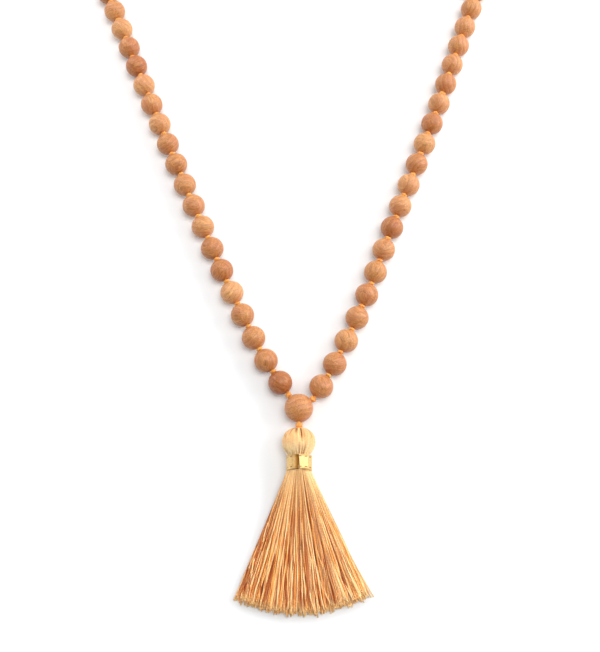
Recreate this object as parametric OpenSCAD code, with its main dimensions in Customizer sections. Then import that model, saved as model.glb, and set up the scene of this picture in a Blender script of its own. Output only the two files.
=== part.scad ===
// A long mala necklace lying flat: wooden beads knotted one by one on a thread, a larger guru bead where
// both strands meet, and a tassel of silk threads folded over the thread's loop and bound by a gold band.
// Z = 0 is the surface it lies on. +Y runs from the tassel to the back of the neck, +X to the right.

/* [Strand] */
// Diameter of a strand bead
bead_d = 8; // [6:0.5:10]
// Number of strand beads, without the guru bead
bead_count = 108; // [90:1:120]
// Room between two beads, which a knot fills
bead_gap = 1.1; // [0.8:0.1:2]
// Diameter of the knots between the beads
knot_d = 2.2; // [1.9:0.1:2.6]

/* [Thread] */
// Diameter of the thread
thread_d = 0.8; // [0.6:0.1:1]
// Room round the thread in every drilled hole
hole_clear = 0.2; // [0.1:0.05:0.3]
// Room between a knot and the bead beside it
knot_clear = 0.1; // [0.1:0.05:0.2]

/* [Guru bead] */
// Diameter of the guru bead
guru_d = 9.4; // [8.5:0.1:12]
// Room between the guru bead and the first bead of each strand
guru_gap = 2.1; // [1.7:0.1:3]
// Diameter of the two knots beside the guru bead
guru_knot_d = 2.4; // [2:0.1:2.8]
// Diameter of the doubled thread from the guru bead to the tassel
tail_d = 1.2; // [1:0.1:1.4]
// Diameter of the knot under the guru bead
end_knot_d = 2.7; // [2.2:0.1:3]
// Length of the knot under the guru bead
end_knot_l = 2; // [1.5:0.1:3]

/* [Tassel] */
// Width of the round head
head_d = 10.8; // [10:0.2:13]
// Length of the head, from its top to the band
head_l = 9.1; // [8:0.1:12]
// How much of the head's height is pressed flat where it lies on the surface
head_flat = 0.4; // [0.2:0.1:1]
// Width of the neck inside the band
neck_d = 7.4; // [6.6:0.1:8.2]
// Inside diameter of the thread's loop in the head
loop_d = 2; // [1.6:0.1:2.4]
// Length of the skirt's threads, from the band to their cut ends
skirt_l = 42.5; // [30:0.5:70]
// Width of the skirt across its cut ends
skirt_w = 42; // [30:1:52]
// Thickness of the skirt at its cut ends
skirt_h = 3.4; // [2.4:0.1:5]
// How far the skirt fans out to the right of straight, in degrees
skirt_lean = 1.5; // [-4:0.5:4]
// Number of locks across the top of the skirt
lock_count = 21; // [9:1:25]

/* [Band] */
// Width of the ribbon, along the neck
band_l = 4.8; // [3:0.1:7]
// Thickness of the wound ribbon
band_t = 0.3; // [0.2:0.05:0.4]
// Thickness of the ribbon's corded edges
band_edge_d = 0.5; // [0.45:0.05:0.7]
// Room between the ribbon and the threads that it binds
band_clear = 0.1; // [0.1:0.05:0.2]

/* [Hidden] */
$fn = 32;

// The string's route from above, measured from the guru bead's centre: up the left strand, round the back
// of the neck and down the right strand. It is scaled as a whole to the length that the beads need.
ROUTE = [
    [0, 0], [-3.3, 4.6], [-11.1, 16.5], [-19.2, 32.8], [-34, 66.2], [-51.7, 108.8], [-72, 160], [-92, 209],
    [-110, 256], [-118, 296], [-108, 344], [-78, 383], [-34, 406], [-4, 410], [26, 406], [70, 383],
    [100, 344], [110, 296], [103, 256], [84, 207], [66.4, 158.5], [48.8, 107.5], [33.1, 66.5],
    [20.1, 32.5], [12.3, 16.1], [4.9, 3.6], [0, 0]
];
// Steps in which each leg of the route is measured
ROUTE_STEPS = 12;

bead_r = bead_d / 2;
guru_r = guru_d / 2;
neck_r = neck_d / 2;
pitch = bead_d + bead_gap;
bore_d = thread_d + 2 * hole_clear;
tail_bore_d = tail_d + 2 * hole_clear;
knot_l = bead_gap - 2 * knot_clear;
// The thread bends at the knots beside the guru bead, so these get this many times the room
BEND_ROOM = 2.5;
guru_knot_l = guru_gap - 2 * BEND_ROOM * knot_clear;
// Inside the guru bead the two strands and the tail are tied in a small knot, in a wider pocket
inner_knot_d = tail_d + 0.2;
pocket_d = inner_knot_d + 2 * hole_clear;
// A straight run of thread stops this short of the middle of a knot
RUN_STOP = 0.1;

// Along the tassel, from the guru bead's centre towards the cut ends
end_knot_y = -(guru_r + knot_clear + end_knot_l / 2);
head_top_y = end_knot_y - end_knot_l / 2 - knot_clear;
band_top_y = head_top_y - head_l;
band_end_y = band_top_y - band_l;
skirt_y = band_end_y - band_clear;
// Height of the head's and the neck's axis above the surface
tassel_z = head_d / 2 - head_flat;

function unit(v) = v / norm(v);

// The route as a smooth curve: at each point it heads along a mean of the two legs that meet there
LAST = len(ROUTE) - 1;
function leg(i) = norm(ROUTE[i + 1] - ROUTE[i]);
function way(i) = (ROUTE[i + 1] - ROUTE[i]) / leg(i);
function heading(i) =
    i == 0 ? way(0) : i == LAST ? way(LAST - 1) : unit(leg(i) * way(i - 1) + leg(i - 1) * way(i));
function on_leg(i, t) =
    (2 * pow(t, 3) - 3 * pow(t, 2) + 1) * ROUTE[i]
    + (pow(t, 3) - 2 * pow(t, 2) + t) * leg(i) * heading(i)
    + (3 * pow(t, 2) - 2 * pow(t, 3)) * ROUTE[i + 1]
    + (pow(t, 3) - pow(t, 2)) * leg(i) * heading(i + 1);
CURVE = concat(
    [for (i = [0:LAST - 1], k = [0:ROUTE_STEPS - 1]) on_leg(i, k / ROUTE_STEPS)],
    [ROUTE[LAST]]
);
function step(i) = i + 1 < len(CURVE) ? norm(CURVE[i + 1] - CURVE[i]) : 0;
// How far along the curve each of its points lies
RUN = [for (i = 0, s = 0; i < len(CURVE); s = s + step(i), i = i + 1) s];

// The string runs from the guru bead's centre, once round, and back to it
end_run = guru_r + guru_gap + bead_r;
string_l = 2 * end_run + (bead_count - 1) * pitch;
stretch = string_l / RUN[len(RUN) - 1];
RUN_X = [for (i = [0:len(CURVE) - 1]) [RUN[i] * stretch, CURVE[i].x * stretch]];
RUN_Y = [for (i = [0:len(CURVE) - 1]) [RUN[i] * stretch, CURVE[i].y * stretch]];
function at_run(s) = [lookup(s, RUN_X), lookup(s, RUN_Y), bead_r];

// One knot lies before each bead and one after the last
KNOTS = concat(
    [at_run(guru_r + guru_gap / 2)],
    [for (i = [1:bead_count - 1]) at_run(end_run + (i - 0.5) * pitch)],
    [at_run(string_l - guru_r - guru_gap / 2)]
);
function string_way(i) = unit(KNOTS[i + 1] - KNOTS[i]);
// Each bead is strung on the straight thread between its two knots
BEADS = [for (i = [0:bead_count - 1])
    i == 0 ? KNOTS[1] - string_way(0) * pitch / 2 : KNOTS[i] + string_way(i) * pitch / 2];
GURU = [0, 0, guru_r];
END_KNOT = [0, end_knot_y, guru_r];
// The thread's loop lies this deep in the head, and the hank of silk threads is folded through it
loop_depth = 1.2;
loop_r = (loop_d + thread_d) / 2;
LOOP = [0, head_top_y - loop_depth - loop_r, guru_r];
TAIL_END = LOOP + [0, loop_r, 0];

// The middle of the whole necklace, seen from above, is the origin
bead_xs = [for (p = BEADS) p.x];
bead_ys = [for (p = BEADS) p.y];
MIDDLE = [
    (max(bead_xs) + min(bead_xs)) / 2,
    (max(bead_ys) + bead_r + skirt_y - skirt_l) / 2,
    0
];

// Turns what stands on +Z at the origin to run from a towards b
module along(a, b) {
    v = b - a;
    translate(a)
        rotate([0, acos(v.z / norm(v)), atan2(v.y, v.x)])
            children();
}

module rod(a, b, d) {
    along(a, b)
        cylinder(h = norm(b - a), d = d);
}

// A tight round knot: the middle slice of a ball, with its axis on the thread
module knot(at, way, d, l) {
    along(at, at + way)
        intersection() {
            sphere(d = d);
            cube([2 * d, 2 * d, l], center = true);
        }
}

// A closed loop of thread in the plane of Y and Z
module loop(tube_d) {
    translate(LOOP)
        rotate([0, 90, 0])
            rotate_extrude()
                translate([loop_r, 0])
                    circle(d = tube_d);
}

// A turned bead, drilled along the thread
module bead(at, way) {
    along(at, at + way)
        difference() {
            sphere(d = bead_d);
            cylinder(h = 2 * bead_d, d = bore_d, center = true);
        }
}

module beads() {
    color("#cf9164")
        translate(-MIDDLE)
            for (i = [0:bead_count - 1])
                bead(BEADS[i], string_way(i));
}

// The larger bead has three holes that meet in its middle: one for each strand, one for the tail
module guru_bead() {
    color("#c98a5c")
        translate(-MIDDLE)
            difference() {
                guru_ball(guru_d);
                guru_ball(pocket_d);
                rod(GURU, GURU + unit(KNOTS[0] - GURU) * guru_d, bore_d);
                rod(GURU, GURU + unit(KNOTS[bead_count] - GURU) * guru_d, bore_d);
                rod(GURU, GURU + [0, -guru_d, 0], tail_bore_d);
            }
}

module guru_ball(d) {
    along(GURU, GURU + [0, -1, 0])
        sphere(d = d);
}

// One unbroken thread: through every bead, a knot after each, and down to its loop in the tassel's head
module thread() {
    color("#ee9a33")
        translate(-MIDDLE) {
            for (i = [0:bead_count - 1])
                rod(KNOTS[i] + string_way(i) * RUN_STOP, KNOTS[i + 1] - string_way(i) * RUN_STOP, thread_d);
            for (i = [1:bead_count - 1])
                knot(KNOTS[i], unit(string_way(i - 1) + string_way(i)), knot_d, knot_l);
            guru_side(KNOTS[0], string_way(0));
            guru_side(KNOTS[bead_count], -string_way(bead_count - 1));
            guru_ball(inner_knot_d);
            rod(GURU, TAIL_END, tail_d);
            knot(END_KNOT, [0, 1, 0], end_knot_d, end_knot_l);
            loop(thread_d);
        }
}

// The thread from the guru bead's middle to the knot beside it, which turns it into its strand
module guru_side(at, strand_way) {
    out = unit(at - GURU);
    rod(GURU, at - out * RUN_STOP, thread_d);
    knot(at, unit(out + strand_way), guru_knot_d, guru_knot_l);
}

// The head's outline: how far along it, and its radius as shares of the head's and the neck's radius
HEAD = [
    // along, of the head, of the neck, depth of the folds
    [0.05, 0.13, 0, 0],
    [0, 0.27, 0, 0.05],
    [0.02, 0.5, 0, 0.05],
    [0.09, 0.72, 0, 0.04],
    [0.2, 0.89, 0, 0.03],
    [0.34, 0.98, 0, 0.02],
    [0.5, 1, 0, 0.02],
    [0.65, 0.96, 0, 0.02],
    [0.78, 0.86, 0, 0.03],
    [0.88, 0.5, 0.47, 0.05],
    [0.95, 0.2, 0.78, 0.06],
    [1, 0, 1, 0.02]
];
HEAD_FOLDS = 15;
HEAD_SIDES = 60;

function head_point(row, side) =
    let(
        angle = 360 * side / HEAD_SIDES,
        r = (row[1] * head_d + row[2] * neck_d) / 2 * (1 - row[3] + row[3] * cos(HEAD_FOLDS * angle))
    )
    [r * sin(angle), head_top_y - row[0] * head_l, max(0, tassel_z + r * cos(angle))];

// The folded hank, gathered at its top round the thread and at its foot under the band
module head() {
    rows = len(HEAD);
    points = concat(
        [for (row = HEAD, side = [0:HEAD_SIDES - 1]) head_point(row, side)],
        [[0, head_top_y - HEAD[0][0] * head_l, tassel_z], [0, band_top_y, tassel_z]]
    );
    next = [for (side = [0:HEAD_SIDES - 1]) (side + 1) % HEAD_SIDES];
    polyhedron(points, concat(
        [for (row = [0:rows - 2], side = [0:HEAD_SIDES - 1], half = [0, 1])
            half == 0
                ? [row * HEAD_SIDES + side, row * HEAD_SIDES + next[side], (row + 1) * HEAD_SIDES + side]
                : [
                    row * HEAD_SIDES + next[side],
                    (row + 1) * HEAD_SIDES + next[side],
                    (row + 1) * HEAD_SIDES + side
                ]],
        [for (side = [0:HEAD_SIDES - 1]) [rows * HEAD_SIDES, next[side], side]],
        [for (side = [0:HEAD_SIDES - 1])
            [rows * HEAD_SIDES + 1, (rows - 1) * HEAD_SIDES + side, (rows - 1) * HEAD_SIDES + next[side]]]
    ));
}

// Sections of the skirt from the band to the cut ends, each as shares of the way from neck to ends
SKIRT = [
    // along, spread, flattening, fall to the surface, squareness of the section
    [0, 0, 0, 0, 2],
    [0.14, 0.17, 0.38, 0.45, 2.4],
    [0.4, 0.43, 0.76, 0.92, 3.4],
    [1, 1, 1, 1, 5]
];
LOCK_SIDES = 10;
// Locks overlap sideways by this share of their width
LOCK_OVERLAP = 0.3;

function half_height(row) = neck_r + (skirt_h / 2 - neck_r) * row[2];
function half_width(row) = neck_r + (skirt_w / 2 - neck_r) * row[1];
function middle_z(row) = half_height(row) + (tassel_z - neck_r) * (1 - row[3]);
function lock_w(row) = 2 * half_width(row) / lock_count * (1 + LOCK_OVERLAP);
// Where the outermost lock's middle lies in the first and in the last section
first_x = half_width(SKIRT[0]) - lock_w(SKIRT[0]) / 2;
last_x = half_width(SKIRT[len(SKIRT) - 1]) - lock_w(SKIRT[len(SKIRT) - 1]) / 2;
fan = asin((last_x - first_x) / skirt_l);

// A place in a section: across runs from -1 to 1, and up is 1 on the section's top and -1 under it
function in_skirt(row, across, up, l) =
    [
        across * first_x + l * sin(fan * across + skirt_lean) * row[1],
        skirt_y - l * cos(fan * across + skirt_lean) * row[0],
        middle_z(row) + up * half_height(row) * pow(1 - pow(abs(across), row[4]), 1 / row[4])
    ];

// A thin upright slice, which the skirt's parts are stretched between
module slice(at, w, h) {
    translate(at)
        scale([w, 1, h])
            rotate([90, 0, 0])
                cylinder(h = 0.02, d = 1, $fn = LOCK_SIDES);
}

// A lock of threads, along the top of the skirt or under it
module lock(across, up, l) {
    for (k = [0:len(SKIRT) - 2])
        hull()
            for (row = [SKIRT[k], SKIRT[k + 1]])
                slice(in_skirt(row, across, up * 0.55, l), lock_w(row), half_height(row) * 0.9);
}

// The threads under the locks
module skirt_core() {
    for (k = [0:len(SKIRT) - 2])
        hull()
            for (row = [SKIRT[k], SKIRT[k + 1]], across = [-0.8:0.2:0.8])
                slice(in_skirt(row, across, 0, skirt_l * 0.99), 0.3 * neck_r, half_height(row) * 1.5);
}

// Locks differ a little in length, by the golden angle, so that the cut ends are not a true arc
function lock_l(i) = skirt_l * (0.988 + 0.012 * sin(i * 137.5));

module tassel() {
    color("#f0b272")
        translate(-MIDDLE)
            difference() {
                union() {
                    head();
                    rod([0, band_top_y + 1, tassel_z], [0, skirt_y - 1, tassel_z], neck_d);
                    skirt_core();
                    for (i = [0:lock_count - 1])
                        lock(2 * i / (lock_count - 1) - 1, 1, lock_l(i));
                    for (i = [1:lock_count - 1])
                        lock((2 * i - 1) / (lock_count - 1) - 1, -1, lock_l(i + lock_count));
                }
                rod(TAIL_END - [0, hole_clear, 0], GURU, tail_bore_d);
                loop(bore_d);
            }
}

// The gold ribbon round the neck, with a fine cord woven into each edge
module tassel_band() {
    edge_r = neck_r + band_clear + band_edge_d / 2;
    color("#d8b95a")
        translate([0, 0, tassel_z] - MIDDLE) {
            difference() {
                rod([0, band_top_y - band_edge_d / 2, 0], [0, band_end_y + band_edge_d / 2, 0], 2 * edge_r + band_t);
                rod([0, band_top_y, 0], [0, band_end_y, 0], 2 * edge_r - band_t);
            }
            for (y = [band_top_y - band_edge_d / 2, band_end_y + band_edge_d / 2])
                translate([0, y, 0])
                    rotate([90, 0, 0])
                        rotate_extrude()
                            translate([edge_r, 0])
                                circle(d = band_edge_d);
        }
}

beads();
guru_bead();
thread();
tassel();
tassel_band();
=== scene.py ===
import math
import bpy
import numpy as np
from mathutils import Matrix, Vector


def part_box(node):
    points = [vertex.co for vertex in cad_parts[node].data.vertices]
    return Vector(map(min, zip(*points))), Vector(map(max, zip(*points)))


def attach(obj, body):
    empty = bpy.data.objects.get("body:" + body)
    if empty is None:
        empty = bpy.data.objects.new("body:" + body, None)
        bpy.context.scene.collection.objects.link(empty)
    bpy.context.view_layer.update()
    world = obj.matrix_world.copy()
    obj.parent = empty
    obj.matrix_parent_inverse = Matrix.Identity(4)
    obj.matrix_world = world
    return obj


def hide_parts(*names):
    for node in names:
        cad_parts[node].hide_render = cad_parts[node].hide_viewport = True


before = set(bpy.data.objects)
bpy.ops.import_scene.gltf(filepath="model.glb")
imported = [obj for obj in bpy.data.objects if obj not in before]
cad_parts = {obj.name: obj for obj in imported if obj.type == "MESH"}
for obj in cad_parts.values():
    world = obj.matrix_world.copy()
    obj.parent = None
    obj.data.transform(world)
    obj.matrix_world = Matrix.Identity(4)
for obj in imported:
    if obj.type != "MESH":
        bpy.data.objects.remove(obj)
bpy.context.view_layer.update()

# The strand beads are balls of close-grained wood, each turned on a lathe, drilled through along the string
# and rubbed to a satin finish. Every bead is cut from another part of the log, so that its tone and the run
# of its grain are its own.
MM = 0.001
UP = np.array([0.0, 0.0, 1.0])
# The radius to which each hole's sharp edge is eased
HOLE_LIP = 0.12 * MM
LIP_ROWS = 3
BEAD_ROWS = 18
BEAD_SIDES = 32
# A shell narrower than this is a hole's wall and not a ball's surface
WIDEST_HOLE = 5 * MM
# How often the grain changes in a millimetre: across the log in both directions, and along it
PATCHES = (0.2, 0.2, 0.09)
WANDERING = (0.35, 0.35, 0.13)
STREAKS = (2.3, 2.3, 0.16)
FIBRES = (7.0, 7.0, 0.5)
PORES = (6.0, 6.0, 0.8)
# How far the rings wander across the log, in millimetres
RINGS_WANDER = (1.8, 1.8, 0.0)
GRAIN_DEPTH = 0.035 * MM
# How far from the log's pith the beads are cut, and how long the log is, in millimetres
FROM_PITH = (5, 20)
LOG_LENGTH = 400
# Tones run from 0, the darkest wood, to 1, the palest: the beads' mean and spread
BEAD_TONES = (0.5, 0.22)
# All that is left to chance is drawn from here, always in the same order
chance = np.random.default_rng(seed=108)


def loose_shells(node):
    """The points of each loose shell of a CAD node."""
    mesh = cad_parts[node].data
    points = np.array([v.co for v in mesh.vertices], float)
    edges = np.array([e.vertices[:] for e in mesh.edges])
    shell = np.arange(len(points))
    spread = np.zeros_like(shell)
    while (spread != shell).any():
        spread = shell.copy()
        lowest = shell[edges].min(axis=1)
        np.minimum.at(shell, edges[:, 0], lowest)
        np.minimum.at(shell, edges[:, 1], lowest)
    return [points[shell == k] for k in np.unique(shell)]


def narrowest(shell):
    """The least of a shell's three extents."""
    return np.ptp(shell, axis=0).min()


def ball_through(points):
    """Centre and radius of the ball whose surface the points lie on."""
    middle = points.mean(axis=0)
    off = points - middle
    solved = np.linalg.lstsq(np.c_[2 * off, np.ones(len(off))], (off ** 2).sum(axis=1), rcond=None)[0]
    return middle + solved[:3], math.sqrt(solved[3] + solved[:3] @ solved[:3])


def unit(v):
    """A vector, or each of a row of vectors, made one long."""
    return v / np.linalg.norm(v, axis=-1, keepdims=True)


def drilled_ball(ball_r, hole_r):
    """Outline of a drilled ball from one hole's mouth to the other, as (radius, height) points."""
    lip_at = math.asin((hole_r + HOLE_LIP) / (ball_r - HOLE_LIP))
    turn = np.linspace(np.pi, np.pi / 2 - lip_at, LIP_ROWS + 1)[:-1]
    lip = HOLE_LIP * np.c_[np.cos(turn), np.sin(turn)]
    lip += [hole_r + HOLE_LIP, (ball_r - HOLE_LIP) * math.cos(lip_at)]
    sweep = np.linspace(lip_at, np.pi - lip_at, BEAD_ROWS + 1)
    ball = ball_r * np.c_[np.sin(sweep), np.cos(sweep)]
    return np.vstack([lip, ball, lip[::-1] * [1, -1]])


def grid_faces(rows, sides):
    """Four-sided faces between neighbouring rows of points that each run once round."""
    corner = np.arange((rows - 1) * sides)
    side = corner % sides
    beside = corner - side + (side + 1) % sides
    return np.c_[corner, corner + sides, beside + sides, beside]


def turned(outline, sides):
    """An outline that starts and ends on a hole's wall, spun round the Z axis: its points and faces."""
    closed = np.vstack([outline, outline[:1]])
    turn = 2 * np.pi * np.arange(sides) / sides
    spokes = np.c_[np.cos(turn), np.sin(turn)]
    radius, height = closed[:, 0, None, None], closed[:, 1, None, None]
    points = np.concatenate([radius * spokes, np.broadcast_to(height, (len(closed), sides, 1))], axis=2)
    faces = grid_faces(len(closed), sides) % (len(outline) * sides)
    return points[:-1].reshape(-1, 3), faces


def new_piece(name, points, faces, finish, node):
    """A smooth mesh that rides on the necklace's body and stands for a CAD node."""
    mesh = bpy.data.meshes.new(name)
    mesh.from_pydata(points, [], faces)
    mesh.shade_smooth()
    mesh.materials.append(finish)
    piece = bpy.data.objects.new(name, mesh)
    bpy.context.scene.collection.objects.link(piece)
    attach(piece, "root")
    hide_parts(node)
    return piece


def keep_value(piece, name, values):
    """Stores a number, or three, for each point of a piece. Its finish reads them by that name."""
    kind, field = ("FLOAT", "value") if np.ndim(values) == 1 else ("FLOAT_VECTOR", "vector")
    layer = piece.data.attributes.new(name, kind, "POINT")
    layer.data.foreach_set(field, np.asarray(values, np.float32).ravel())


def dye(code):
    """A colour given as six hex digits, in the linear light that shaders use."""
    shares = [int(code[k:k + 2], 16) / 255 for k in (0, 2, 4)]
    return [s / 12.92 if s <= 0.04045 else ((s + 0.055) / 1.055) ** 2.4 for s in shares] + [1]


class Finish:
    """A material. Each call adds one node, wires it and gives its output."""

    def __init__(self, name, **constants):
        self.material = bpy.data.materials.new(name)
        self.material.use_nodes = True
        self.tree = self.material.node_tree
        self.shader = self.tree.nodes["Principled BSDF"]
        self.surface(**constants)

    def wire(self, node, inputs):
        for socket, value in inputs.items():
            if isinstance(value, bpy.types.NodeSocket):
                self.tree.links.new(value, node.inputs[socket])
            else:
                node.inputs[socket].default_value = value

    def add(self, kind, inputs, output=0, **settings):
        node = self.tree.nodes.new("ShaderNode" + kind)
        for setting, value in settings.items():
            setattr(node, setting, value)
        self.wire(node, inputs)
        return node.outputs[output]

    def kept(self, name, output="Fac"):
        return self.add("Attribute", {}, output, attribute_name=name)

    def parts(self, vector):
        """The X, Y and Z of a vector."""
        node = self.tree.nodes.new("ShaderNodeSeparateXYZ")
        self.wire(node, {0: vector})
        return node.outputs

    def maths(self, operation, a, b=0.0, c=0.0):
        return self.add("Math", {0: a, 1: b, 2: c}, operation=operation)

    def ridges(self, share):
        """Rounded ridges from 0 to 1, one for each half wave of a share in radians."""
        return self.maths("ABSOLUTE", self.maths("SINE", share))

    def stretched(self, vector, scale):
        return self.add("VectorMath", {0: vector, 1: scale}, operation="MULTIPLY")

    def shifted(self, vector, scale, onto):
        """A vector stretched and then added to another."""
        return self.add("VectorMath", {0: vector, 1: scale, 2: onto}, operation="MULTIPLY_ADD")

    def noise(self, vector, scale, detail=2.0, output="Fac"):
        return self.add("TexNoise", {"Vector": vector, "Scale": scale, "Detail": detail}, output)

    def between(self, share, low, high, to_low=0.0, to_high=1.0):
        """A share stretched so that low becomes to_low and high becomes to_high, and no further."""
        return self.add("MapRange", {0: share, 1: low, 2: high, 3: to_low, 4: to_high})

    def mixed(self, share, a, b, way="MIX"):
        return self.add("Mix", {0: share, 6: a, 7: b}, 2, data_type="RGBA", blend_type=way)

    def raised(self, height, depth):
        """A bump of the given real depth."""
        return self.add("Bump", {"Height": height, "Distance": depth, "Strength": 1.0})

    def surface(self, **inputs):
        self.wire(self.shader, {socket.replace("_", " "): value for socket, value in inputs.items()})
        return self.material


def satin_wood(name, light, dark, rosy):
    """Rubbed wood: soft wavy rings, fine fibres and short pores, read from each bead's place in the log."""
    wood = Finish(name, Specular_IOR_Level=0.4, Coat_Weight=0.25, Coat_Roughness=0.33)
    log = wood.kept("place_in_log", "Vector")
    tone = wood.kept("tone")
    wander = wood.noise(wood.stretched(log, WANDERING), 1.0, 4.0, "Color")
    bent = wood.shifted(wander, RINGS_WANDER, log)
    rings = wood.add(
        "TexWave",
        {"Vector": bent, "Scale": 0.2, "Distortion": 1.2, "Detail": 3.0, "Detail Scale": 1.2},
        "Fac",
        wave_type="RINGS",
        rings_direction="Z",
        wave_profile="SAW",
    )
    patches = wood.noise(wood.stretched(log, PATCHES), 1.0)
    streaks = wood.noise(wood.stretched(bent, STREAKS), 1.0, 3.0)
    fibres = wood.noise(wood.stretched(bent, FIBRES), 1.0, 3.0)
    pores = wood.between(wood.noise(wood.stretched(bent, PORES), 1.0, 1.0), 0.64, 0.72)
    ringed = wood.maths("MULTIPLY", rings, wood.between(patches, 0.38, 0.62, 0.16, 0.5))
    grain = wood.maths("ADD", ringed, wood.between(streaks, 0.3, 0.72, 0.0, 0.6))
    body = wood.mixed(wood.between(grain, 0.15, 0.95), dye(light), dye(dark))
    body = wood.mixed(wood.between(patches, 0.42, 0.66, 0.0, 0.6), body, dye(rosy))
    fibred = wood.mixed(wood.between(fibres, 0.36, 0.64, 0.0, 0.4), body, dye(dark), "MULTIPLY")
    pored = wood.mixed(wood.maths("MULTIPLY", pores, 0.4), fibred, dye(dark), "MULTIPLY")
    toned = wood.add("HueSaturation", {
        "Color": pored,
        "Hue": wood.between(tone, 0, 1, 0.494, 0.512),
        "Saturation": wood.between(tone, 0, 1, 1.1, 0.98),
        "Value": wood.between(tone, 0, 1, 0.81, 1.34),
    })
    rough = wood.between(fibres, 0.3, 0.7, 0.4, 0.5)
    relief = wood.maths("SUBTRACT", fibres, wood.maths("MULTIPLY", pores, 0.5))
    return wood.surface(Base_Color=toned, Roughness=rough, Normal=wood.raised(relief, GRAIN_DEPTH))


def places_in_log(local_mm):
    """Where a turned piece's points lay in the log, in millimetres, before it was cut and turned round."""
    turn = np.linalg.qr(chance.normal(size=(3, 3)))[0]
    middle = [chance.uniform(*FROM_PITH), 0, chance.uniform(0, LOG_LENGTH)]
    return local_mm @ turn + middle


def along_string(centres, first):
    """The order in which the string passes the beads: always on to the nearest one left."""
    order = [first]
    left = [k for k in range(len(centres)) if k != first]
    while left:
        order.append(min(left, key=lambda k: np.linalg.norm(centres[k] - centres[order[-1]])))
        left.remove(order[-1])
    return order


guru_at, guru_r = ball_through(max(loose_shells("guru_bead"), key=narrowest))
shells = loose_shells("beads")
balls = [ball_through(s) for s in shells if narrowest(s) > WIDEST_HOLE]
holes = [s for s in shells if narrowest(s) < WIDEST_HOLE]
bead_r = balls[0][1]
beads = np.array([centre for centre, radius in balls])
on_left = np.where(beads[:, 0] < guru_at[0])[0]
first_bead = on_left[np.linalg.norm(beads[on_left] - guru_at, axis=1).argmin()]
beads = beads[along_string(beads, first_bead)]

# Each bead's hole gives the way that the thread takes through it, and the thread's room in it
hole_middles = np.array([h.mean(axis=0) for h in holes])
holes = [holes[np.linalg.norm(hole_middles - bead, axis=1).argmin()] for bead in beads]
ways = np.array([np.linalg.svd(h - h.mean(axis=0))[2][0] for h in holes])
onward = np.vstack([beads[1:] - beads[:-1], guru_at - beads[-1]])
ways *= np.sign((ways * onward).sum(axis=1))[:, None]
hole_r = np.linalg.norm(np.cross(holes[0] - beads[0], ways[0]), axis=1).mean()

bead_shape, bead_faces = turned(drilled_ball(bead_r, hole_r), BEAD_SIDES)
across = unit(np.cross(UP, ways))
frames = np.stack([across, np.cross(ways, across), ways], axis=1)
bead_points = beads[:, None] + bead_shape @ frames
bead_starts = len(bead_shape) * np.arange(len(beads))
strand_beads = new_piece(
    "strand_beads",
    bead_points.reshape(-1, 3),
    (bead_faces + bead_starts[:, None, None]).reshape(-1, 4),
    satin_wood("satin_bead_wood", light="da9b66", dark="93562c", rosy="cc855d"),
    "beads",
)
keep_value(strand_beads, "place_in_log", np.vstack([places_in_log(bead_shape / MM) for bead in beads]))
bead_tones = np.clip(chance.normal(*BEAD_TONES, len(beads)), 0, 1)
keep_value(strand_beads, "tone", bead_tones.repeat(len(bead_shape)))

# The guru bead is a larger ball of the same wood, where both strands meet. It is drilled three ways: one
# hole for each strand, and one at the foot for the thread that carries the tassel.
GURU_SIDES = 80
GURU_ROWS = 56
GURU_TONE = 0.55
HOLE_SIDES = 28
# A shell whose middle is off the ball's middle by more than this share of its radius is a hole
HOLE_OFF_MIDDLE = 0.2
# Neighbouring faces that meet at more than this angle keep a crisp edge
CRISP_ANGLE = math.radians(50)


def holes_of(node, centre, ball_radius):
    """(way out, radius) of each hole drilled from a ball's surface to its middle."""
    found = []
    for shell in loose_shells(node):
        off = shell.mean(axis=0) - centre
        if np.linalg.norm(off) > HOLE_OFF_MIDDLE * ball_radius:
            way = unit(off)
            found.append((way, np.linalg.norm(np.cross(shell - centre, way), axis=1).mean()))
    return found


def plain_ball(radius, rows, sides):
    """A ball's points and faces, with a point at each pole."""
    sweep = np.pi * np.arange(1, rows) / rows
    turn = 2 * np.pi * np.arange(sides) / sides
    ring = np.stack(np.broadcast_arrays(
        np.sin(sweep)[:, None] * np.cos(turn),
        np.sin(sweep)[:, None] * np.sin(turn),
        np.cos(sweep)[:, None],
    ), axis=2).reshape(-1, 3)
    top, foot = len(ring), len(ring) + 1
    last_row = (rows - 2) * sides
    caps = [[top, side, (side + 1) % sides] for side in range(sides)]
    caps += [[foot, last_row + (side + 1) % sides, last_row + side] for side in range(sides)]
    return radius * np.vstack([ring, UP, -UP]), grid_faces(rows - 1, sides).tolist() + caps


def drill(piece, centre, way, radius, depth):
    """Cuts a round hole from a piece's middle outwards."""
    bpy.ops.mesh.primitive_cylinder_add(vertices=HOLE_SIDES, radius=radius, depth=depth)
    bit = bpy.context.object
    bit.rotation_euler = Vector(way).to_track_quat("Z", "Y").to_euler()
    bit.location = Vector(centre + way * depth / 2)
    cut = piece.modifiers.new("hole", "BOOLEAN")
    cut.object = bit
    cut.solver = "EXACT"
    bpy.context.view_layer.update()
    finished = bpy.data.meshes.new_from_object(piece.evaluated_get(bpy.context.evaluated_depsgraph_get()))
    piece.modifiers.clear()
    piece.data = finished
    bpy.data.objects.remove(bit)


guru_shape, guru_faces = plain_ball(guru_r, GURU_ROWS, GURU_SIDES)
guru = new_piece(
    "guru_bead_wood",
    guru_shape + guru_at,
    guru_faces,
    satin_wood("satin_guru_wood", light="d89966", dark="985a2e", rosy="cb835b"),
    "guru_bead",
)
for way, radius in holes_of("guru_bead", guru_at, guru_r):
    drill(guru, guru_at, way, radius, 2 * guru_r)
guru.data.set_sharp_from_angle(angle=CRISP_ANGLE)
guru_points = np.array([v.co for v in guru.data.vertices], float)
keep_value(guru, "place_in_log", places_in_log((guru_points - guru_at) / MM))
keep_value(guru, "tone", np.full(len(guru_points), GURU_TONE))

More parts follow.
